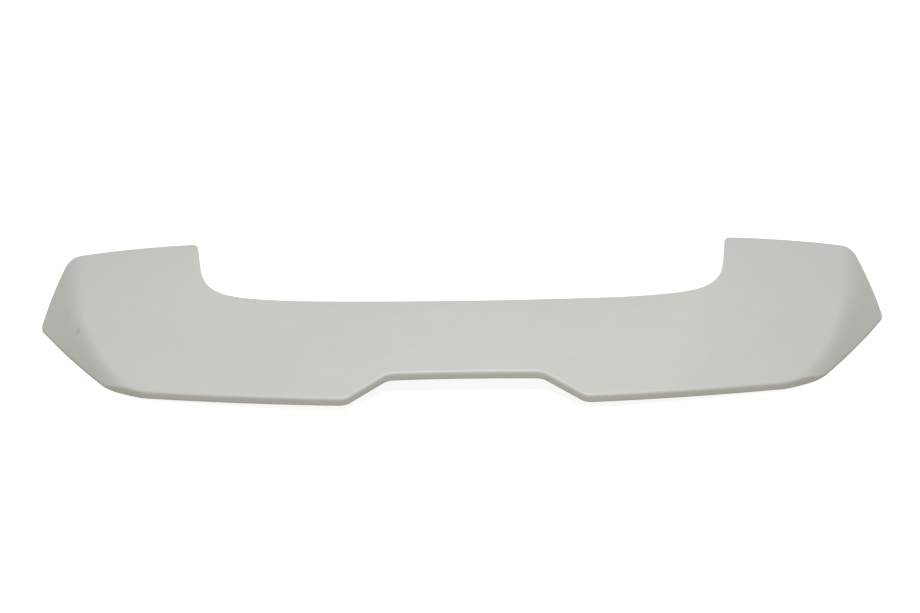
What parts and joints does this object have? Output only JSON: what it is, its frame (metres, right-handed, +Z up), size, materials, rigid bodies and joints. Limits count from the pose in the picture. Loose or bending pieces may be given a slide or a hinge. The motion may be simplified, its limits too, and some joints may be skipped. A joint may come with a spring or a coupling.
{
  "type": "rear roof spoiler",
  "caption": "Rear roof spoiler for a tailgate: a thin moulded shell with forward horns, folded side flanks, a rolled trailing edge with a shallow notch, and fixings below.",
  "frame": {"origin": "middle of the footprint, on the plane that the side rims rest on", "axes": "+X across the car to its right, +Y to the front of the car, +Z up"},
  "size_m": [1.2504, 0.3174, 0.0957],
  "materials": {
    "primed_plastic": "light grey primer, satin",
    "insert_brass": "knurled, plain",
    "foam_tape": "matte closed-cell foam"
  },
  "bodies": {
    "root": {"spoiler_shell": "primed_plastic", "insert_inner_left": "insert_brass", "insert_inner_right": "insert_brass", "insert_outer_left": "insert_brass", "insert_outer_right": "insert_brass", "tape_centre": "foam_tape", "tape_left": "foam_tape", "tape_right": "foam_tape"}
  },
  "joints": []
}
